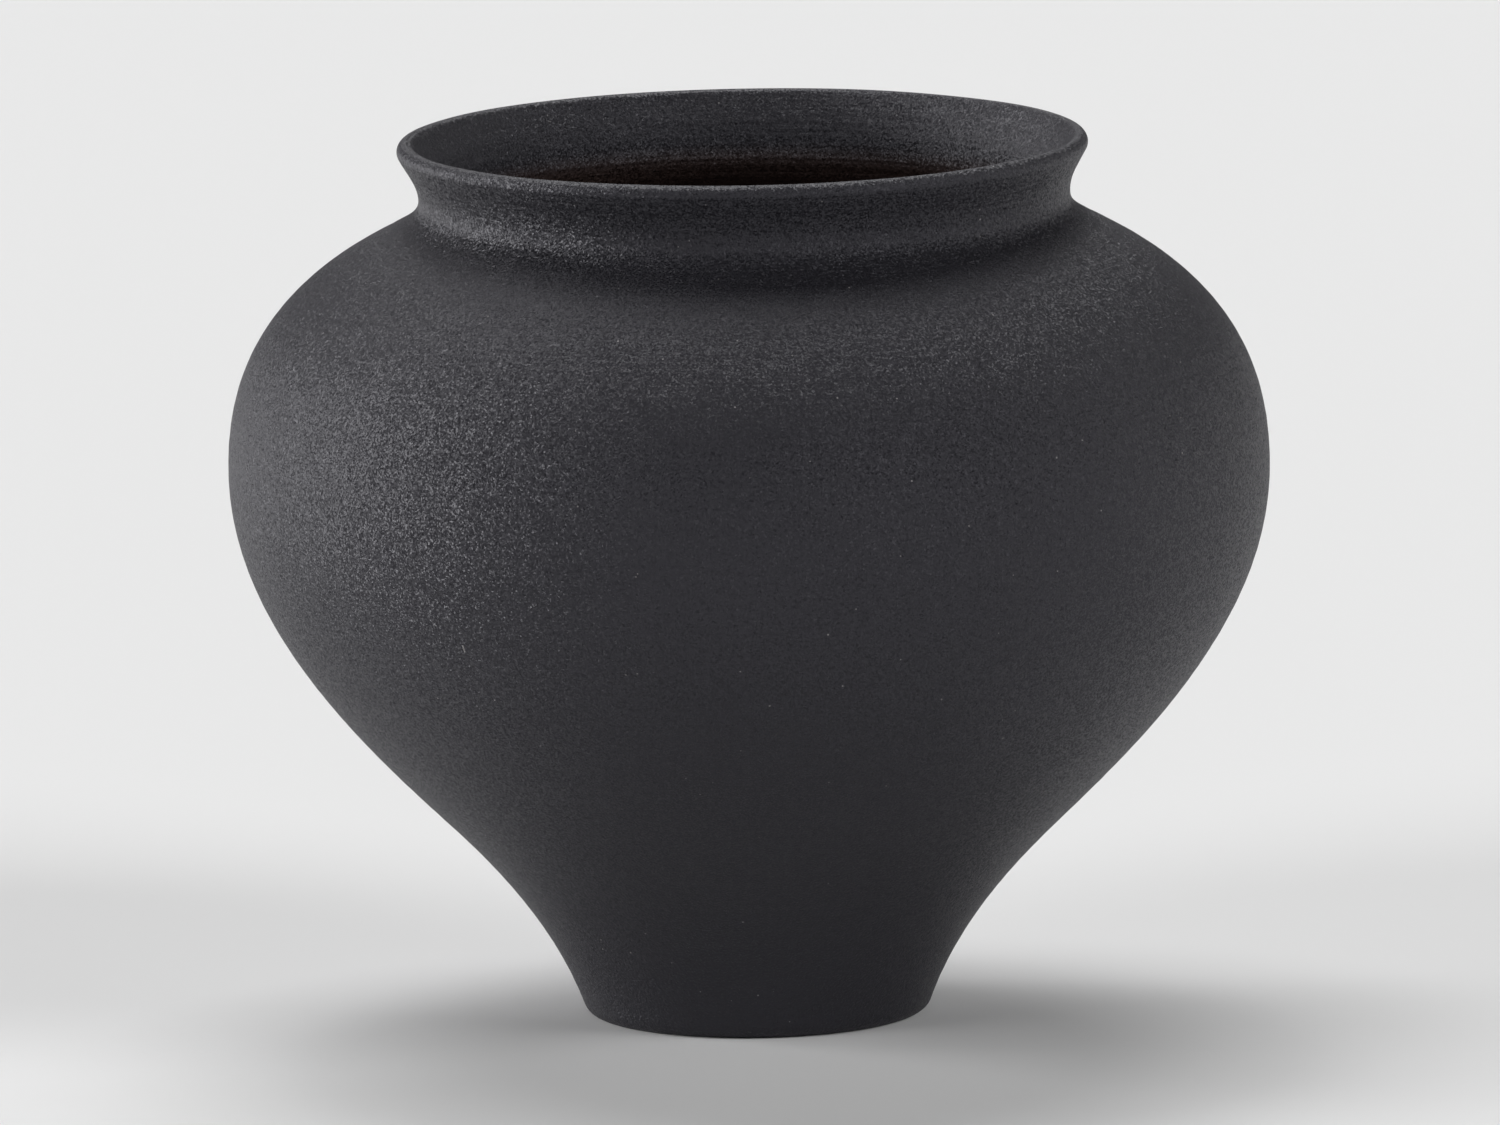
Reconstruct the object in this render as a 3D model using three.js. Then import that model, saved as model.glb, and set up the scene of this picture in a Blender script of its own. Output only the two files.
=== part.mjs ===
// A wide-shouldered black clay jar (barro negro) with a flared collar, 300 mm across and 255 mm
// tall. It is put together the way a potter raises it: a dished base, four courses of wall and a
// collar. Each course stands on the one below in a luted joint, where a tongue along the lower
// rim sits in a groove under the upper one, and wet clay slip fills the space between them.
//
// Millimetres, +Z up. The origin is the middle of the foot, on the surface the jar stands on.

import * as THREE from 'three';

// Driving dimensions of the jar.
const JAR_HEIGHT = 255;
const BELLY_RADIUS = 150;
const NECK_RADIUS = 93.7;
const THROAT_RADIUS = 87.2;
const LIP_RADIUS = 99.4;
const LIP_THICKNESS = 5.2;
const WALL = 6.5; // thickness of the wall from the belly up
const LOWER_WALL = 7.5; // thickness where the foot flares into the belly
const FLOOR = 10; // thickness of the floor over the standing ring

// The foot: a flat standing ring round a shallow turned recess.
const STANDING_RADIUS = 45.7;
const RECESS_RADIUS = 36;
const RECESS_DEPTH = 1.5;
const FOOT_EDGE = 4.7; // radius of the foot's rounded outer edge
const FLOOR_FILLET = 12; // radius inside, between floor and wall

// The luted joints, named by their height on the outer face.
const JOINT_HEIGHTS = [24, 85, 159, 203, 230.5];
const SLIP = 0.4; // thickness of the slip between two courses
const TONGUE_HEIGHT = 1.5;
const TONGUE_SHARE = 0.5; // how much of the wall's thickness the tongue takes up

// Smoothness of the solids.
const FACETS = 48; // round the jar
const WALL_STEP = 11; // along a wall
const COLLAR_STEP = 3; // along the collar's tighter curves
const ARC_STEP = 20; // degrees, along the lip, the foot's edge and the floor's fillet

// How finely places along a face are looked for.
const LENGTH_SAMPLES = 4000;
const NEAREST_SAMPLES = 2000;
const HALVINGS = 40;

// The smoked clay, matte all over.
const CLAY = 0x3c3b3e;
const ROUGHNESS = 0.9;

const radians = THREE.MathUtils.degToRad;

// A face of the wall is drawn through stations. At each one the face leans out of the vertical
// by a number of degrees, and it holds that direction for a share of the straight distance to
// the station below and to the one above.
const lipRoll = new THREE.Vector2(LIP_RADIUS - LIP_THICKNESS / 2, JAR_HEIGHT - LIP_THICKNESS / 2);
const footRoll = new THREE.Vector2(STANDING_RADIUS, FOOT_EDGE);
const OUTER_LIP_LEAN = 29;
const INNER_LIP_LEAN = 33;
const FOOT_LEAN = 20;
const FLOOR_LEAN = 28;

const outerFoot = { ...onRoll(footRoll, FOOT_EDGE, FOOT_LEAN), lean: FOOT_LEAN, above: 0.29 };
const outerFlare = { radius: 87.9, height: 56.4, lean: 46, below: 0.41, above: 0.24 };
const outerBelly = { radius: BELLY_RADIUS, height: 159.2, lean: 0, below: 0.375, above: 0.355 };
const outerShoulder = { radius: 112.5, height: 223.4, lean: -60, below: 0.425, above: 0.545 };
const outerNeck = { radius: NECK_RADIUS, height: 238.1, lean: 0, below: 0.25, above: 0.34 };
const outerLip = {
  ...onRoll(lipRoll, LIP_THICKNESS / 2, OUTER_LIP_LEAN),
  lean: OUTER_LIP_LEAN,
  below: 0.41,
};

const innerFoot = {
  radius: 46.5,
  height: FLOOR + FLOOR_FILLET * (1 - Math.sin(radians(FLOOR_LEAN))),
  lean: FLOOR_LEAN,
  above: 0.29,
};
const floorRoll = new THREE.Vector2(
  innerFoot.radius - FLOOR_FILLET * Math.cos(radians(FLOOR_LEAN)),
  FLOOR + FLOOR_FILLET,
);
const innerThroat = { radius: THROAT_RADIUS, height: 236.5, lean: 0, below: 0.13, above: 0.34 };
const innerLip = {
  ...onRoll(lipRoll, -LIP_THICKNESS / 2, INNER_LIP_LEAN),
  lean: INNER_LIP_LEAN,
  below: 0.41,
};

const outerFace = face([outerFoot, outerFlare, outerBelly, outerShoulder, outerNeck, outerLip]);
const innerFace = face([
  innerFoot,
  inward(outerFlare, LOWER_WALL),
  inward(outerBelly, WALL),
  inward(outerShoulder, WALL),
  innerThroat,
  innerLip,
]);

// The point of a round roll where a face of this lean meets it, outside or, with a negative
// roll radius, inside.
function onRoll(centre, rollRadius, lean) {
  return {
    radius: centre.x + rollRadius * Math.cos(radians(lean)),
    height: centre.y - rollRadius * Math.sin(radians(lean)),
  };
}

// The station on the wall's inner face across from one on its outer face.
function inward(station, thickness) {
  return {
    ...station,
    radius: station.radius - thickness * Math.cos(radians(station.lean)),
    height: station.height + thickness * Math.sin(radians(station.lean)),
  };
}

// The smooth curve through the stations, from the foot up, with x as radius and y as height.
function face(stations) {
  const path = new THREE.Path();
  path.arcLengthDivisions = LENGTH_SAMPLES;
  path.moveTo(stations[0].radius, stations[0].height);
  for (let i = 1; i < stations.length; i += 1) {
    const [low, high] = [stations[i - 1], stations[i]];
    const span = Math.hypot(high.radius - low.radius, high.height - low.height);
    const start = held(low, low.above * span);
    const end = held(high, -high.below * span);
    path.bezierCurveTo(start.x, start.y, end.x, end.y, high.radius, high.height);
  }
  return path;
}

// The point reached from a station by going this far along its lean.
function held(station, distance) {
  return new THREE.Vector2(
    station.radius + distance * Math.sin(radians(station.lean)),
    station.height + distance * Math.cos(radians(station.lean)),
  );
}

// How far along a face, from 0 to 1, it reaches this height. Both faces only ever rise.
function shareAtHeight(path, height) {
  let [low, high] = [0, 1];
  for (let i = 0; i < HALVINGS; i += 1) {
    const middle = (low + high) / 2;
    if (path.getPointAt(middle).y < height) low = middle;
    else high = middle;
  }
  return low;
}

// How far along a face, from 0 to 1, its point nearest to this one is.
function shareNearest(path, point) {
  let best = 0;
  for (let i = 1; i <= NEAREST_SAMPLES; i += 1) {
    const share = i / NEAREST_SAMPLES;
    const nearer = path.getPointAt(share).distanceTo(point) < path.getPointAt(best).distanceTo(point);
    if (nearer) best = share;
  }
  return best;
}

// Points along a face between two shares of its length, both ends included.
function stretch(path, from, to, step) {
  const count = Math.ceil((Math.abs(to - from) * path.getLength()) / step);
  return Array.from({ length: count + 1 }, (_, i) => path.getPointAt(from + ((to - from) * i) / count));
}

// Points along an arc between two angles in degrees, both ends left out.
function arc(centre, radius, fromDegrees, toDegrees) {
  const count = Math.ceil(Math.abs(toDegrees - fromDegrees) / ARC_STEP);
  return Array.from({ length: count - 1 }, (_, i) => {
    const angle = radians(fromDegrees + ((toDegrees - fromDegrees) * (i + 1)) / count);
    return new THREE.Vector2(centre.x + radius * Math.cos(angle), centre.y + radius * Math.sin(angle));
  });
}

// A luted joint: where it crosses both faces, and the tongue's three points between them.
// lift is 0 for the lower course's rim, and the slip's thickness for the upper course's.
function joint(height, lift) {
  const outer = shareAtHeight(outerFace, height);
  const inner = shareNearest(innerFace, outerFace.getPointAt(outer));
  const outside = outerFace.getPointAt(outer);
  const inside = innerFace.getPointAt(inner);
  const up = outerFace.getTangentAt(outer).add(innerFace.getTangentAt(inner)).normalize();
  const across = (share, rise) => outside.clone().lerp(inside, share).addScaledVector(up, rise + lift);
  const margin = (1 - TONGUE_SHARE) / 2;
  return {
    outer: outer + lift / outerFace.getLength(),
    inner: inner + lift / innerFace.getLength(),
    tongue: [across(margin, 0), across(0.5, TONGUE_HEIGHT), across(1 - margin, 0)],
  };
}

// A ring or bowl of clay with this half section, which runs with the clay on its left.
function turned(name, section, colour) {
  const geometry = new THREE.LatheGeometry(section, FACETS);
  geometry.rotateX(Math.PI / 2);
  const material = new THREE.MeshStandardMaterial({ color: colour, roughness: ROUGHNESS, metalness: 0 });
  const mesh = new THREE.Mesh(geometry, material);
  mesh.name = name;
  return mesh;
}

// The dished base: recess, standing ring, rounded edge, the start of the wall, and the floor.
function makeBase(name, colour) {
  const top = joint(JOINT_HEIGHTS[0], 0);
  const section = [
    new THREE.Vector2(0, RECESS_DEPTH),
    new THREE.Vector2(RECESS_RADIUS - RECESS_DEPTH, RECESS_DEPTH),
    new THREE.Vector2(RECESS_RADIUS, 0),
    new THREE.Vector2(STANDING_RADIUS, 0),
    ...arc(footRoll, FOOT_EDGE, -90, -FOOT_LEAN),
    ...stretch(outerFace, 0, top.outer, WALL_STEP),
    ...top.tongue,
    ...stretch(innerFace, top.inner, 0, WALL_STEP),
    ...arc(floorRoll, FLOOR_FILLET, -FLOOR_LEAN, -90),
    new THREE.Vector2(floorRoll.x, FLOOR),
    new THREE.Vector2(0, FLOOR),
  ];
  return turned(name, section, colour);
}

// A course of wall between two joints.
function makeCourse(name, lowerJoint, upperJoint, colour) {
  const bottom = joint(lowerJoint, SLIP);
  const top = joint(upperJoint, 0);
  const section = [
    ...stretch(outerFace, bottom.outer, top.outer, WALL_STEP),
    ...top.tongue,
    ...stretch(innerFace, top.inner, bottom.inner, WALL_STEP),
    ...bottom.tongue.reverse(),
    outerFace.getPointAt(bottom.outer),
  ];
  return turned(name, section, colour);
}

// The flared collar with its rolled lip.
function makeCollar(name, lowerJoint, colour) {
  const bottom = joint(lowerJoint, SLIP);
  const section = [
    ...stretch(outerFace, bottom.outer, 1, COLLAR_STEP),
    ...arc(lipRoll, LIP_THICKNESS / 2, -OUTER_LIP_LEAN, 180 - INNER_LIP_LEAN),
    ...stretch(innerFace, 1, bottom.inner, COLLAR_STEP),
    ...bottom.tongue.reverse(),
    outerFace.getPointAt(bottom.outer),
  ];
  return turned(name, section, colour);
}

const COURSES = ['foot_wall', 'lower_belly_wall', 'upper_belly_wall', 'shoulder_wall'];

const jar = new THREE.Group();
jar.add(makeBase('base_dish', CLAY));
COURSES.forEach((name, i) => {
  jar.add(makeCourse(name, JOINT_HEIGHTS[i], JOINT_HEIGHTS[i + 1], CLAY));
});
jar.add(makeCollar('neck_collar', JOINT_HEIGHTS[COURSES.length], CLAY));

export default jar;
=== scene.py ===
"""The looks of a wide-shouldered matte black clay jar, built around its CAD frame.

Every course of clay in the frame is replaced by a fine piece. The pieces are cut from one
hand-thrown surface, so that their luted joints are wiped smooth outside and inside, as on the
real jar, while the tongues and grooves between them are still there.
"""

import math

import bpy
import numpy as np
from mathutils import Euler, Matrix, Vector


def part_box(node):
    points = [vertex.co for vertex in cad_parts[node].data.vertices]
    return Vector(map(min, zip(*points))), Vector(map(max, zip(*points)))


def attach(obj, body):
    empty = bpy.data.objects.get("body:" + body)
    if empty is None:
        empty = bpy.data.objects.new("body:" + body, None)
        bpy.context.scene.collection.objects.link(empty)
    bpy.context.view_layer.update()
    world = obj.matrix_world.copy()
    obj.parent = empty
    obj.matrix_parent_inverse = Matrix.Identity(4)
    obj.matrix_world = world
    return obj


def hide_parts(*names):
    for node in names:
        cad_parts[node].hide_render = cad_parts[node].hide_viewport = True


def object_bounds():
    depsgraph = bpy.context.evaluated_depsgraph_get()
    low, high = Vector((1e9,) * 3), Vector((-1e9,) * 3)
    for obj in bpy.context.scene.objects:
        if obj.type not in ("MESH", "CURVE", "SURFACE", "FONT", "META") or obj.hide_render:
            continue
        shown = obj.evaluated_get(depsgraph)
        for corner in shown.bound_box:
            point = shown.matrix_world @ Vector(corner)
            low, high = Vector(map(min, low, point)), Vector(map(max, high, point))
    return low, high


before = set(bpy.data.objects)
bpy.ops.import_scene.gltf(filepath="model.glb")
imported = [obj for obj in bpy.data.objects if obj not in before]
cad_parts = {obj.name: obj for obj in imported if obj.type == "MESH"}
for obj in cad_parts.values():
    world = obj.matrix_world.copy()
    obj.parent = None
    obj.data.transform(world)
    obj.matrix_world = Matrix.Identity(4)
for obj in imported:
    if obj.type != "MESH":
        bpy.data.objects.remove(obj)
cad_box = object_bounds()

MM = 0.001
NODES = (
    "base_dish",
    "foot_wall",
    "lower_belly_wall",
    "upper_belly_wall",
    "shoulder_wall",
    "neck_collar",
)

# Sizes that the frame gives.
JAR_HEIGHT = cad_box[1].z
BELLY_RADIUS = cad_box[1].x
LIP_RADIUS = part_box("neck_collar")[1].x

# Sizes that the frame's boxes don't show: the same design as the CAD part's.
NECK_RADIUS = 93.7 * MM
THROAT_RADIUS = 87.2 * MM
LIP_THICKNESS = 5.2 * MM
WALL = 6.5 * MM
LOWER_WALL = 7.5 * MM
FLOOR = 10 * MM
STANDING_RADIUS = 45.7 * MM
RECESS_RADIUS = 36 * MM
RECESS_DEPTH = 1.5 * MM
FOOT_EDGE = 4.7 * MM
FLOOR_FILLET = 12 * MM
INNER_FOOT_RADIUS = 46.5 * MM
UNDERSIDE_SOFTENING = 1.2 * MM
JOINT_HEIGHTS = [24 * MM, 85 * MM, 159 * MM, 203 * MM, 230.5 * MM]
SLIP = 0.4 * MM
TONGUE_HEIGHT = 1.5 * MM
TONGUE_SHARE = 0.5

# How fine the surface is.
COLUMNS = 640
ROW_STEP = 1.4 * MM
ROW_TURN = math.radians(9)
FINE_STEP = 0.1 * MM
NO_AREA = 1e-12


# ---------------------------------------------------------------- the half section of the jar


def on_roll(centre, radius, lean):
    """The point of a round roll where a face leaning this much meets it: inside if radius < 0."""
    return centre + radius * np.array([math.cos(lean), -math.sin(lean)])


def station(point, lean, below=0.0, above=0.0):
    """A place that a face passes through, leaning outward by lean degrees on its way up."""
    return {"point": np.array(point), "lean": math.radians(lean), "below": below, "above": above}


def inward(outer, thickness):
    """The station on the inner face across from one on the outer face."""
    return {**outer, "point": on_roll(outer["point"], -thickness, outer["lean"])}


def bezier(a, b, c, d):
    """A cubic curve, as closely spaced points without its last one."""
    count = max(8, int(np.linalg.norm(d - a) / FINE_STEP))
    t = np.linspace(0, 1, count, endpoint=False)[:, None]
    return (1 - t) ** 3 * a + 3 * (1 - t) ** 2 * t * b + 3 * (1 - t) * t**2 * c + t**3 * d


def face(stations):
    """The smooth curve through the stations, from the foot up, as (radius, height) points."""
    stretches = []
    for low, high in zip(stations[:-1], stations[1:]):
        span = np.linalg.norm(high["point"] - low["point"])
        leaving = np.array([math.sin(low["lean"]), math.cos(low["lean"])]) * low["above"] * span
        arriving = np.array([math.sin(high["lean"]), math.cos(high["lean"])]) * high["below"] * span
        stretches.append(
            bezier(low["point"], low["point"] + leaving, high["point"] - arriving, high["point"])
        )
    return np.vstack([*stretches, stations[-1]["point"]])


def arc(centre, radius, start, end):
    """Points along an arc between two angles in degrees."""
    count = int(abs(math.radians(end - start)) * radius / FINE_STEP)
    angle = np.radians(np.linspace(start, end, count))
    return centre + radius * np.stack([np.cos(angle), np.sin(angle)], 1)


def straight(start, end):
    """Points along a straight line."""
    start, end = np.array(start), np.array(end)
    t = np.linspace(0, 1, max(2, int(np.linalg.norm(end - start) / FINE_STEP)))[:, None]
    return start + (end - start) * t


def softened(line, reach):
    """The line with its corners rounded over about this length, its two ends kept."""
    width = 2 * int(reach / FINE_STEP / 2) + 1
    padded = np.vstack([np.repeat(line[:1], width // 2, 0), line, np.repeat(line[-1:], width // 2, 0)])
    kernel = np.ones(width) / width
    return np.stack([np.convolve(padded[:, k], kernel, "valid") for k in (0, 1)], 1)


# How far the faces lean outward, in degrees, where they meet the round rolls.
OUTER_LIP_LEAN, INNER_LIP_LEAN, FOOT_LEAN, FLOOR_LEAN = 29, 33, 20, 28

lip_roll = np.array([LIP_RADIUS - LIP_THICKNESS / 2, JAR_HEIGHT - LIP_THICKNESS / 2])
foot_roll = np.array([STANDING_RADIUS, FOOT_EDGE])
inner_foot = np.array([INNER_FOOT_RADIUS, FLOOR + FLOOR_FILLET * (1 - math.sin(math.radians(FLOOR_LEAN)))])
floor_roll = inner_foot - FLOOR_FILLET * np.array(
    [math.cos(math.radians(FLOOR_LEAN)), -math.sin(math.radians(FLOOR_LEAN))]
)

outer_foot = station(on_roll(foot_roll, FOOT_EDGE, math.radians(FOOT_LEAN)), FOOT_LEAN, above=0.29)
outer_flare = station((87.9 * MM, 56.4 * MM), 46, below=0.41, above=0.24)
outer_belly = station((BELLY_RADIUS, 159.2 * MM), 0, below=0.375, above=0.355)
outer_shoulder = station((112.5 * MM, 223.4 * MM), -60, below=0.425, above=0.545)
outer_neck = station((NECK_RADIUS, 238.1 * MM), 0, below=0.25, above=0.34)
outer_lip = station(
    on_roll(lip_roll, LIP_THICKNESS / 2, math.radians(OUTER_LIP_LEAN)), OUTER_LIP_LEAN, below=0.41
)
inner_throat = station((THROAT_RADIUS, 236.5 * MM), 0, below=0.13, above=0.34)
inner_lip = station(
    on_roll(lip_roll, -LIP_THICKNESS / 2, math.radians(INNER_LIP_LEAN)), INNER_LIP_LEAN, below=0.41
)

outer_face = face([outer_foot, outer_flare, outer_belly, outer_shoulder, outer_neck, outer_lip])
inner_face = face(
    [
        station(inner_foot, FLOOR_LEAN, above=0.29),
        inward(outer_flare, LOWER_WALL),
        inward(outer_belly, WALL),
        inward(outer_shoulder, WALL),
        inner_throat,
        inner_lip,
    ]
)


def resampled(line):
    """The line with rows as far apart as ROW_STEP, or closer where it turns by ROW_TURN."""
    steps = np.diff(line, axis=0)
    length = np.linalg.norm(steps, axis=1)
    line, steps, length = line[np.r_[True, length > 0]], steps[length > 0], length[length > 0]
    heading = np.unwrap(np.arctan2(steps[:, 1], steps[:, 0]))
    turn = np.abs(np.gradient(heading))
    cost = np.r_[0, np.cumsum(np.maximum(length / ROW_STEP, turn / ROW_TURN))]
    rows = np.linspace(0, cost[-1], max(3, math.ceil(cost[-1]) + 1))
    return np.stack([np.interp(rows, cost, line[:, k]) for k in (0, 1)], 1)


def split_section():
    """The half section as stretches between the joints: from the middle of the underside, up the
    outer face, over the lip, down the inner face and to the middle of the floor."""
    outer_cuts = [int(np.searchsorted(outer_face[:, 1], h)) for h in JOINT_HEIGHTS]
    inner_cuts = [
        int(np.argmin(np.linalg.norm(inner_face - outer_face[cut], axis=1))) for cut in outer_cuts
    ]
    underside = softened(
        np.vstack(
            [
                straight((0, RECESS_DEPTH), (RECESS_RADIUS - RECESS_DEPTH, RECESS_DEPTH)),
                straight((RECESS_RADIUS - RECESS_DEPTH, RECESS_DEPTH), (RECESS_RADIUS, 0)),
                straight((RECESS_RADIUS, 0), (STANDING_RADIUS, 0)),
            ]
        ),
        UNDERSIDE_SOFTENING,
    )
    foot_edge = arc(foot_roll, FOOT_EDGE, -90, -FOOT_LEAN)
    lip = arc(lip_roll, LIP_THICKNESS / 2, -OUTER_LIP_LEAN, 180 - INNER_LIP_LEAN)
    fillet = arc(floor_roll, FLOOR_FILLET, -FLOOR_LEAN, -90)
    floor = straight((floor_roll[0], FLOOR), (0, FLOOR))
    first = np.vstack([underside, foot_edge, outer_face[: outer_cuts[0] + 1]])
    rising = [outer_face[a : b + 1] for a, b in zip(outer_cuts[:-1], outer_cuts[1:])]
    over = np.vstack([outer_face[outer_cuts[-1] :], lip, inner_face[inner_cuts[-1] :][::-1]])
    falling = [inner_face[a : b + 1][::-1] for a, b in zip(inner_cuts[:-1], inner_cuts[1:])][::-1]
    last = np.vstack([inner_face[: inner_cuts[0] + 1][::-1], fillet, floor])
    return [resampled(stretch) for stretch in [first, *rising, over, *falling, last]]


# ---------------------------------------------------------------- the hand-thrown surface


def waves(points, lengths, seed):
    """A smooth random field over the points, between about -1 and 1, of these wavelengths."""
    random = np.random.default_rng(seed)
    total = np.zeros(points.shape[:-1])
    for length in lengths:
        direction = random.normal(size=3)
        direction *= 2 * math.pi / length / np.linalg.norm(direction)
        total += np.sin(points @ direction + random.uniform(0, 2 * math.pi))
    return total / math.sqrt(len(lengths))


def throwing_rings(along, angle, pitches, seed):
    """Spiral ridges left by the fingers, these pitches apart, that swell and fade along the wall."""
    total = 0
    for k, pitch in enumerate(pitches):
        random = np.random.default_rng(seed + k)
        turns = 2 * math.pi * along / pitch
        ridge = np.sin(turns + angle + random.uniform(0, 6))
        swell = np.sin(turns / RINGS_IN_SWELL + 2 * angle + random.uniform(0, 6))
        total = total + ridge * (0.6 + 0.4 * swell)
    return total


OUT_OF_ROUND = 0.15 * MM
# How far the axis wanders sideways, at these heights, and how much the lip tips with it.
WANDER = {
    0: 0.1 * MM,
    80 * MM: 0.5 * MM,
    215 * MM: -0.45 * MM,
    238 * MM: -0.3 * MM,
    252 * MM: -0.7 * MM,
}
LIP_TIP = 0.0022
LUMPS = 0.07 * MM
LUMP_LENGTHS = np.array([81, 99, 54, 67.5, 45, 36]) * MM
# The finger rings' heights and pitches, and how many rings apart they swell.
OUTER_RINGS, OUTER_PITCHES = 0.022 * MM, (5.3 * MM, 9.1 * MM)
INNER_RINGS, INNER_PITCHES = 0.06 * MM, (2.8 * MM, 6.7 * MM)
RINGS_IN_SWELL = 7.3
# How far below the lip the clay becomes wholly inside clay.
INSIDE_FADE = 25 * MM


def wander(height):
    """The sideways shift of the jar's axis at these heights, easing from one to the next."""
    heights, shifts = np.array(list(WANDER)), np.array(list(WANDER.values()))
    level = np.interp(height, heights, np.arange(len(heights)))
    low = np.minimum(level.astype(int), len(heights) - 2)
    ease = (level - low) ** 2 * (3 - 2 * (level - low))
    return shifts[low] + (shifts[low + 1] - shifts[low]) * ease


def thrown_surface(section):
    """The places and outward normals of every row and column of the jar, the distance of each row
    along the wall, and which row is the lip's crest."""
    steps = np.linalg.norm(np.diff(section, axis=0), axis=1)
    along = np.r_[0, np.cumsum(steps)][:, None]
    tangent = np.gradient(section, axis=0)
    tangent /= np.linalg.norm(tangent, axis=1)[:, None]
    angle = np.linspace(0, 2 * math.pi, COLUMNS, endpoint=False)[None, :]
    across, up = np.cos(angle), np.sin(angle)

    def turned(radius, height):
        return np.stack([radius * across, radius * up, height + 0 * angle], -1)

    points = turned(section[:, :1], section[:, 1:])
    outward = turned(tangent[:, 1:], -tangent[:, :1])
    crest = np.argmax(section[:, 1])
    inside = (np.arange(len(section)) > crest)[:, None]
    reach = section[:, :1] / BELLY_RADIUS
    sign = np.where(inside, -1, 1)

    out_of_round = OUT_OF_ROUND * reach * (np.cos(2 * angle + 0.7) + 0.5 * np.cos(3 * angle + 2.1))
    lumps = LUMPS * waves(points, LUMP_LENGTHS, seed=3)
    outer_rings = OUTER_RINGS * throwing_rings(along, angle, OUTER_PITCHES, seed=5)
    inner_rings = INNER_RINGS * throwing_rings(along, angle, INNER_PITCHES, seed=7)
    relief = (lumps + np.where(inside, inner_rings, outer_rings)) * np.minimum(1, reach * 3)
    points = points + outward * (out_of_round * sign + relief)[..., None]
    points[..., 0] += wander(section[:, 1:])
    points[..., 2] += LIP_TIP * points[..., 0] * (section[:, 1:] / JAR_HEIGHT) ** 4
    points[..., 2] = np.maximum(points[..., 2], 0)

    rows_apart = np.gradient(points, axis=0)
    columns_apart = np.roll(points, -1, axis=1) - np.roll(points, 1, axis=1)
    normals = np.cross(columns_apart, rows_apart)
    lengths = np.linalg.norm(normals, axis=-1, keepdims=True)
    normals = np.where(lengths > NO_AREA, normals / np.maximum(lengths, NO_AREA), outward)
    return points, normals, along[:, 0], crest


# ---------------------------------------------------------------- the courses as closed pieces

# Where the rows of points across a joint lie, as shares of the wall's thickness.
TONGUE_ROWS = np.linspace(0, 1, 11)[1:-1]
# The potter's scratches around each tongue.
SCORES = 120
SCORE_DEPTH = 0.12 * MM


def luted_joint(outside, inside, lift):
    """Rows across the wall at a joint: the scored tongue, lifted by the slip for an upper course."""
    across = (inside - outside)[None]
    upward = np.cross(across[0], np.roll(outside, -1, axis=0) - np.roll(outside, 1, axis=0))
    upward *= -1 / np.linalg.norm(upward, axis=1, keepdims=True)
    share = TONGUE_ROWS[:, None]
    tongue = TONGUE_HEIGHT * np.maximum(0, 1 - np.abs(share - 0.5) / (TONGUE_SHARE / 2))
    score = SCORE_DEPTH * np.sin(np.arange(COLUMNS) * SCORES * 2 * math.pi / COLUMNS)[None]
    rise = tongue + score * (TONGUE_SHARE - np.abs(share - 0.5)) + lift
    return outside[None] + across * share[..., None] + upward[None] * rise[..., None]


def clay_piece(name, rows, normals, along, inside, poles=False):
    """A closed mesh through rows of points. Rows with a zero normal are hidden joint faces."""
    count = len(rows)
    ring = np.arange(COLUMNS)
    beyond = np.roll(ring, -1)
    low = np.arange(count - 1 if poles else count)[:, None] * COLUMNS
    high = (low + COLUMNS) % (count * COLUMNS)
    quads = np.stack([low + ring, low + beyond, high + beyond, high + ring], -1).reshape(-1, 4)
    points, shading = rows.reshape(-1, 3), normals.reshape(-1, 3)
    run, depth = np.repeat(along, COLUMNS), np.repeat(inside, COLUMNS)
    corners, sizes = quads.ravel(), np.full(len(quads), 4)
    if poles:
        ends = [(rows[0], -1.0, beyond, ring), (rows[-1], 1.0, ring, beyond)]
        for k, (row, facing, first, second) in enumerate(ends):
            pole = count * COLUMNS + k
            start = 0 if k == 0 else (count - 1) * COLUMNS
            fan = np.stack([np.full(COLUMNS, pole), start + first, start + second], -1)
            corners, sizes = np.r_[corners, fan.ravel()], np.r_[sizes, np.full(COLUMNS, 3)]
            points = np.vstack([points, [0, 0, row[:, 2].mean()]])
            shading = np.vstack([shading, [0, 0, facing]])
            run, depth = np.r_[run, run[start]], np.r_[depth, depth[start]]

    mesh = bpy.data.meshes.new(name)
    mesh.vertices.add(len(points))
    mesh.vertices.foreach_set("co", points.astype(np.float32).ravel())
    mesh.loops.add(len(corners))
    mesh.loops.foreach_set("vertex_index", corners.astype(np.int32))
    mesh.polygons.add(len(sizes))
    mesh.polygons.foreach_set("loop_start", np.r_[0, np.cumsum(sizes)[:-1]].astype(np.int32))
    mesh.update(calc_edges=True)
    mesh.shade_smooth()
    mesh.normals_split_custom_set(shading[corners])
    for label, values in (("along_wall", run), ("inside", depth)):
        attribute = mesh.attributes.new(label, "FLOAT", "POINT")
        attribute.data.foreach_set("value", values.astype(np.float32))
    piece = bpy.data.objects.new(name, mesh)
    bpy.context.scene.collection.objects.link(piece)
    return piece


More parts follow.
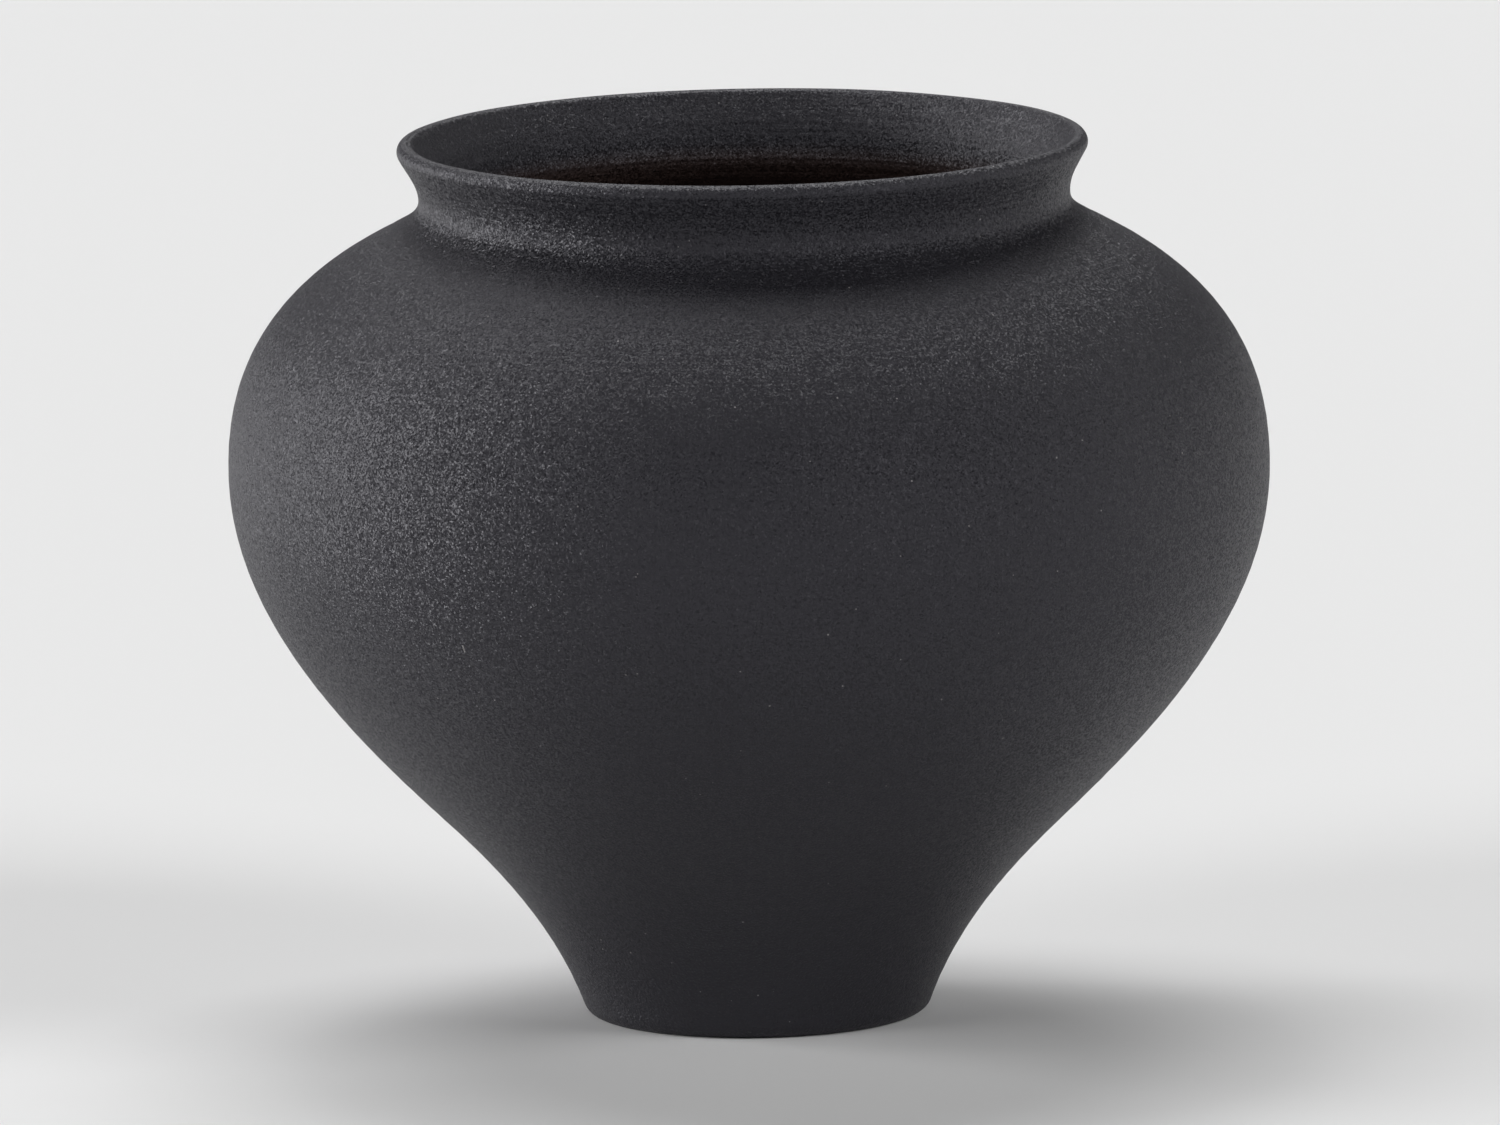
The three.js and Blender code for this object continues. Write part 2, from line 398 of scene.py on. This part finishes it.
def make_courses():
    """The jar's clay courses, in the order of NODES, all cut from one thrown surface."""
    stretches = split_section()
    section = np.vstack([stretches[0], *[s[1:] for s in stretches[1:]]])[1:-1]
    points, normals, along, crest = thrown_surface(section)
    depth = np.clip((np.arange(len(section)) > crest) * (JAR_HEIGHT - section[:, 1]) / INSIDE_FADE, 0, 1)
    ends = np.cumsum([len(s) - 1 for s in stretches]) - 1
    ends[-1] = len(section) - 1
    starts = np.r_[0, ends[:-1]]
    last = len(stretches) - 1

    def joint_rows(level, lift):
        outside, inside = points[ends[level]], points[starts[last - level]]
        return luted_joint(outside, inside, lift)

    pieces = []
    for i, node in enumerate(NODES):
        outer = slice(starts[i], ends[i] + 1)
        inner = slice(starts[last - i], ends[last - i] + 1)
        is_base, is_collar = i == 0, i == len(NODES) - 1
        rows, shading, run, inside = [], [], [], []

        def add_skin(part):
            rows.append(points[part])
            shading.append(normals[part])
            run.append(along[part])
            inside.append(depth[part])

        def add_joint(joint):
            rows.append(joint)
            shading.append(np.zeros_like(joint))
            run.append(np.zeros(len(joint)))
            inside.append(np.full(len(joint), 0.5))

        # The collar's outer stretch runs over the lip and down its inner face, so it is all its skin.
        add_skin(outer)
        if not is_collar:
            add_joint(joint_rows(i, 0))
            add_skin(inner)
        if not is_base:
            add_joint(joint_rows(i - 1, SLIP)[::-1])
        piece = clay_piece(
            f"{node}_clay",
            np.vstack(rows),
            np.vstack(shading),
            np.concatenate(run),
            np.concatenate(inside),
            poles=is_base,
        )
        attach(piece, "root")
        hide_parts(node)
        pieces.append(piece)
    return pieces


# ---------------------------------------------------------------- material

# The clay's own colour is very dark, because most of what is seen is its broad, dull gloss.
CLAY_COLOUR = (0.0098, 0.0093, 0.0122)
PALE_COLOUR = (0.0125, 0.0119, 0.0152)
# The browner clay inside, and where it starts, as a share of INSIDE_FADE.
RAW_COLOUR = (0.0780, 0.0510, 0.0440)
RAW_FROM = 0.55
GLOSS_TINT = (0.92, 0.905, 1.0)
SPECK_COLOUR = (0.20, 0.19, 0.19)
CLAY_ROUGHNESS = 0.52
ROUGHNESS_SPREAD = 0.05

# The relief of the clay: the size of each kind and how deep it is.
GRAIN_SIZE, GRAIN_DEPTH = 0.75 * MM, 0.28 * MM
COARSE_SIZE, COARSE_DEPTH = 1.7 * MM, 0.08 * MM
LINE_SIZE, LINE_DEPTH = 1.3 * MM, 0.20 * MM
BROAD_LINE_SIZE, BROAD_LINE_DEPTH = 2.6 * MM, 0.10 * MM
# Below the first height the lines are mostly rubbed away, and above the second they are whole.
LINES_FADE = (150 * MM, 205 * MM)
FADED_LINES = 0.25
# The lines are patchy: fainter where the blotches are low. The broad ones are deeper inside the lip.
PATCHES, PATCH_LINES = (0.3, 0.6), 0.4
DEEPER_BY, LINES_INSIDE = 0.2, 3.0
PIT_SPACING, PIT_RADIUS, PIT_SHARE, PIT_DEPTH = 3.2 * MM, 0.34 * MM, 0.25, 0.25 * MM
SPECK_SPACING, SPECK_RADIUS, SPECK_SHARE = 4.1 * MM, 0.26 * MM, 0.30
BLOTCH_SIZE = 38 * MM
# Noise is stretched around the jar into lines: it changes this much slower around than up.
AROUND = 0.012
# A small upright nick in the surface: its direction from the axis, its height, and its half width,
# half length and how far it reaches in and out of the wall.
NICK_TURN, NICK_LEVEL = math.radians(-35), 126.4 * MM
NICK_WIDTH, NICK_LENGTH, NICK_REACH = 0.3 * MM, 1.3 * MM, 3 * MM

# Each sand grain's own face leans away from the surface by up to about half of this. The clay is
# rubbed smoother towards the foot and, where a wet hand shaped it, up on the neck and lip.
FACET_SIZE, FACET_LEAN = 0.45 * MM, 0.9
FOOT_FADE, FOOT_SHARE = (20 * MM, 130 * MM), 0.35
NECK_FADE, NECK_SHARE = (195 * MM, 225 * MM), 0.88


class Nodes:
    """Short calls for building a material's node tree."""

    def __init__(self, material):
        self.tree = material.node_tree
        self.tree.nodes.clear()

    def add(self, kind, inputs=(), **settings):
        """A node with these settings, and inputs by name that are values or other sockets."""
        node = self.tree.nodes.new(f"ShaderNode{kind}")
        for name, value in settings.items():
            setattr(node, name, value)
        for name, value in dict(inputs).items():
            if isinstance(value, bpy.types.NodeSocket):
                self.tree.links.new(value, node.inputs[name])
            else:
                node.inputs[name].default_value = value
        return node

    def maths(self, operation, first, second=0.0):
        """The result of a sum on one or two numbers."""
        node = self.add("Math", {0: first, 1: second}, operation=operation)
        return node.outputs[0]

    def scaled(self, vector, factors):
        """The vector with each of its parts multiplied by its own factor."""
        node = self.add("VectorMath", {0: vector, 1: factors}, operation="MULTIPLY")
        return node.outputs[0]

    def noise(self, vector, size, detail=2.0, roughness=0.5):
        """Noise from 0 to 1 whose features are about this size in metres."""
        inputs = {"Vector": vector, "Scale": 1 / size, "Detail": detail, "Roughness": roughness}
        return self.add("TexNoise", inputs).outputs["Fac"]

    def ramp(self, value, low, high, result_low=0.0, result_high=1.0):
        """A smooth step of the value between low and high."""
        inputs = {
            "Value": value,
            "From Min": low,
            "From Max": high,
            "To Min": result_low,
            "To Max": result_high,
        }
        node = self.add("MapRange", inputs, interpolation_type="SMOOTHSTEP")
        return node.outputs["Result"]

    def mixed(self, factor, first, second):
        """A colour between the first, where factor is 0, and the second, where it is 1."""
        node = self.add("Mix", data_type="RGBA")
        for name, value in (("Factor", factor), ("A", first), ("B", second)):
            socket = next(s for s in node.inputs if s.name == name and s.enabled)
            if isinstance(value, bpy.types.NodeSocket):
                self.tree.links.new(value, socket)
            else:
                socket.default_value = value if name == "Factor" else (*value, 1.0)
        return next(s for s in node.outputs if s.enabled)

    def spots(self, vector, spacing, radius, share):
        """Round spots on a random share of the cells of a grid with this spacing: 1 inside, 0 off."""
        inputs = {"Vector": vector, "Scale": 1 / spacing}
        cells = self.add("TexVoronoi", inputs, feature="F1")
        chosen = self.add("SeparateColor", {"Color": cells.outputs["Color"]})
        picked = self.maths("LESS_THAN", chosen.outputs[0], share)
        # Each spot's radius is from 0.6 to 1.2 times the one asked for.
        size = self.maths("MULTIPLY_ADD", chosen.outputs[1], 0.6)
        size.node.inputs[2].default_value = 0.6
        edge = self.maths("MULTIPLY", size, radius / spacing)
        dot = self.maths("LESS_THAN", cells.outputs["Distance"], edge)
        return self.maths("MULTIPLY", dot, picked)

    def nick(self, vector):
        """1 on the small scratch, 0 off it."""
        radius = float(np.interp(NICK_LEVEL, outer_face[:, 1], outer_face[:, 0]))
        centre = (radius * math.sin(NICK_TURN), -radius * math.cos(NICK_TURN), NICK_LEVEL)
        away = self.add("VectorMath", {0: vector, 1: centre}, operation="SUBTRACT").outputs[0]
        turn_back = {"Vector": away, "Angle": -NICK_TURN}
        away = self.add("VectorRotate", turn_back, rotation_type="Z_AXIS").outputs[0]
        away = self.scaled(away, (1 / NICK_WIDTH, 1 / NICK_REACH, 1 / NICK_LENGTH))
        reach = self.add("VectorMath", {0: away}, operation="LENGTH").outputs["Value"]
        return self.maths("LESS_THAN", reach, 1.0)


def clay_material():
    """Matte black sandy clay: grain, fine turned lines, faint blotches, pits and pale specks, and
    a browner clay down inside, where the smoke reached it less."""
    material = bpy.data.materials.new("black_clay")
    material.use_nodes = True
    nodes = Nodes(material)
    place = nodes.add("TexCoord").outputs["Object"]
    along = nodes.add("Attribute", attribute_name="along_wall").outputs["Fac"]
    inside = nodes.add("Attribute", attribute_name="inside").outputs["Fac"]

    sideways = nodes.scaled(place, (1.0, 1.0, 0.0))
    climb = nodes.add("CombineXYZ", {"Z": along}).outputs[0]
    flow = nodes.add("VectorMath", {0: sideways, 1: climb}, operation="ADD").outputs[0]
    streaks = nodes.scaled(flow, (AROUND, AROUND, 1.0))

    lines = nodes.noise(streaks, LINE_SIZE, detail=1.0)
    broad_lines = nodes.noise(streaks, BROAD_LINE_SIZE, detail=1.0)
    grain = nodes.noise(place, GRAIN_SIZE, detail=1.0)
    coarse = nodes.noise(place, COARSE_SIZE, detail=1.0)
    blotch = nodes.noise(place, BLOTCH_SIZE, detail=3.0)
    pits = nodes.spots(place, PIT_SPACING, PIT_RADIUS, PIT_SHARE)
    specks = nodes.spots(place, SPECK_SPACING, SPECK_RADIUS, SPECK_SHARE)

    level = nodes.add("SeparateXYZ", {0: place}).outputs["Z"]
    rubbed = nodes.ramp(level, *LINES_FADE, FADED_LINES, 1.0)
    presence = nodes.maths("MULTIPLY", rubbed, nodes.ramp(blotch, *PATCHES, PATCH_LINES, 1.0))
    presence_inside = nodes.ramp(inside, 0.0, DEEPER_BY, 1.0, LINES_INSIDE)
    height = nodes.maths("MULTIPLY", grain, GRAIN_DEPTH)
    for part, depth in (
        (coarse, COARSE_DEPTH),
        (nodes.maths("MULTIPLY", broad_lines, presence_inside), BROAD_LINE_DEPTH),
        (nodes.maths("MULTIPLY", lines, presence), LINE_DEPTH),
        (pits, -PIT_DEPTH),
    ):
        height = nodes.maths("ADD", height, nodes.maths("MULTIPLY", part, depth))
    bump = nodes.add("Bump", {"Strength": 1.0, "Distance": 1.0, "Height": height})

    cells = nodes.add("TexVoronoi", {"Vector": place, "Scale": 1 / FACET_SIZE}, feature="F1")
    lean = nodes.add("VectorMath", {0: cells.outputs["Color"], 1: (0.5, 0.5, 0.5)}, operation="SUBTRACT")
    low_lean = nodes.ramp(level, *FOOT_FADE, FACET_LEAN * FOOT_SHARE, FACET_LEAN)
    leaning = nodes.maths("MULTIPLY", low_lean, nodes.ramp(level, *NECK_FADE, 1.0, NECK_SHARE))
    lean = nodes.add("VectorMath", {0: lean.outputs[0], 3: leaning}, operation="SCALE")
    facing = nodes.add("VectorMath", {0: bump.outputs["Normal"], 1: lean.outputs[0]}, operation="ADD")
    facing = nodes.add("VectorMath", {0: facing.outputs[0]}, operation="NORMALIZE")

    shade = nodes.ramp(nodes.maths("ADD", grain, nodes.maths("MULTIPLY", blotch, 0.5)), 0.5, 1.0)
    colour = nodes.mixed(shade, CLAY_COLOUR, PALE_COLOUR)
    colour = nodes.mixed(nodes.ramp(inside, RAW_FROM, 1.0), colour, RAW_COLOUR)
    colour = nodes.mixed(nodes.maths("MAXIMUM", specks, nodes.nick(place)), colour, SPECK_COLOUR)
    roughness = nodes.ramp(
        coarse, 0.2, 0.8, CLAY_ROUGHNESS - ROUGHNESS_SPREAD, CLAY_ROUGHNESS + ROUGHNESS_SPREAD
    )
    surface = nodes.add(
        "BsdfPrincipled",
        {
            "Base Color": colour,
            "Roughness": roughness,
            "Specular Tint": (*GLOSS_TINT, 1.0),
            "Normal": facing.outputs[0],
        },
    )
    nodes.add("OutputMaterial", {"Surface": surface.outputs["BSDF"]})
    return material


# ---------------------------------------------------------------- stage, light and camera

FLOOR_COLOUR = (0.80, 0.80, 0.80)
FLOOR_RADIUS = 40.0
FLOOR_SIDES = 96
SURROUND = 0.7

# How wide each softbox looks from the jar, in degrees.
SOFTBOX_SPREAD = 28
# Each softbox's name, azimuth and elevation in degrees, and strength.
SOFTBOXES = [
    ("front", 0, 5, 0.3),
    ("left", -110, 5, 3.0),
    ("left_front", -60, 30, 0.9),
    ("right_front", 60, 30, 1.2),
    ("right_back", 125, 5, 0.3),
    ("left_top", -150, 60, 0.8),
    ("top", 170, 60, 0.9),
    ("back", 180, 40, 0.45),
]

# The view: how far away and high the camera is, its sideways shift, how far it looks down and rolls.
VIEW_AWAY, VIEW_HEIGHT, VIEW_SHIFT = 7.0, 1.2799, -0.3 * MM
LOOK_DOWN, VIEW_ROLL = math.radians(9.322), math.radians(-0.85)
SENSOR_WIDTH, LENS = 36, 590.25
FARTHEST_SEEN = 200


def make_floor():
    """A wide pale floor that the jar stands on."""
    mesh = bpy.data.meshes.new("floor")
    angle = np.linspace(0, 2 * math.pi, FLOOR_SIDES, endpoint=False)
    rim = [(FLOOR_RADIUS * math.cos(a), FLOOR_RADIUS * math.sin(a), 0.0) for a in angle]
    mesh.from_pydata(rim, [], [list(range(len(rim)))])
    material = bpy.data.materials.new("pale_floor")
    material.use_nodes = True
    nodes = Nodes(material)
    surface = nodes.add("BsdfDiffuse", {"Color": (*FLOOR_COLOUR, 1.0)})
    nodes.add("OutputMaterial", {"Surface": surface.outputs[0]})
    mesh.materials.append(material)
    floor = bpy.data.objects.new("floor", mesh)
    bpy.context.scene.collection.objects.link(floor)


def make_world():
    """A pale surround that only the camera sees, about as bright as the floor."""
    world = bpy.data.worlds.new("studio")
    bpy.context.scene.world = world
    world.use_nodes = True
    background = world.node_tree.nodes["Background"]
    background.inputs["Color"].default_value = (1, 1, 1, 1)
    background.inputs["Strength"].default_value = SURROUND
    world.cycles_visibility.diffuse = False
    world.cycles_visibility.glossy = False


def make_softbox(name, azimuth, elevation, strength):
    """A big, distant soft light on the jar. Azimuth 0 is the camera's side and 90 its right. It is a
    sun lamp, so only its direction counts and not its place."""
    light = bpy.data.lights.new(name, "SUN")
    light.angle = math.radians(SOFTBOX_SPREAD)
    light.energy = strength
    softbox = bpy.data.objects.new(name, light)
    turn, rise = math.radians(azimuth), math.radians(elevation)
    away = Vector((math.sin(turn) * math.cos(rise), -math.cos(turn) * math.cos(rise), math.sin(rise)))
    softbox.location = away
    softbox.rotation_euler = (-away).to_track_quat("-Z", "Y").to_euler()
    bpy.context.scene.collection.objects.link(softbox)


def make_camera():
    """The view of the jar, from far away and a little above, rolled slightly."""
    camera = bpy.data.cameras.new("camera")
    camera.sensor_width = SENSOR_WIDTH
    camera.lens = LENS
    camera.clip_end = FARTHEST_SEEN
    seen = bpy.data.objects.new("camera", camera)
    tilt = Euler((math.pi / 2 - LOOK_DOWN, 0, 0)).to_matrix().to_4x4()
    roll = Matrix.Rotation(VIEW_ROLL, 4, "Z")
    seen.matrix_world = Matrix.Translation((VIEW_SHIFT, -VIEW_AWAY, VIEW_HEIGHT)) @ tilt @ roll
    bpy.context.scene.collection.objects.link(seen)
    bpy.context.scene.camera = seen


bpy.context.scene.view_settings.view_transform = "Standard"
make_camera()
make_world()
make_floor()
for softbox in SOFTBOXES:
    make_softbox(*softbox)

clay = clay_material()
for course in make_courses():
    course.data.materials.append(clay)
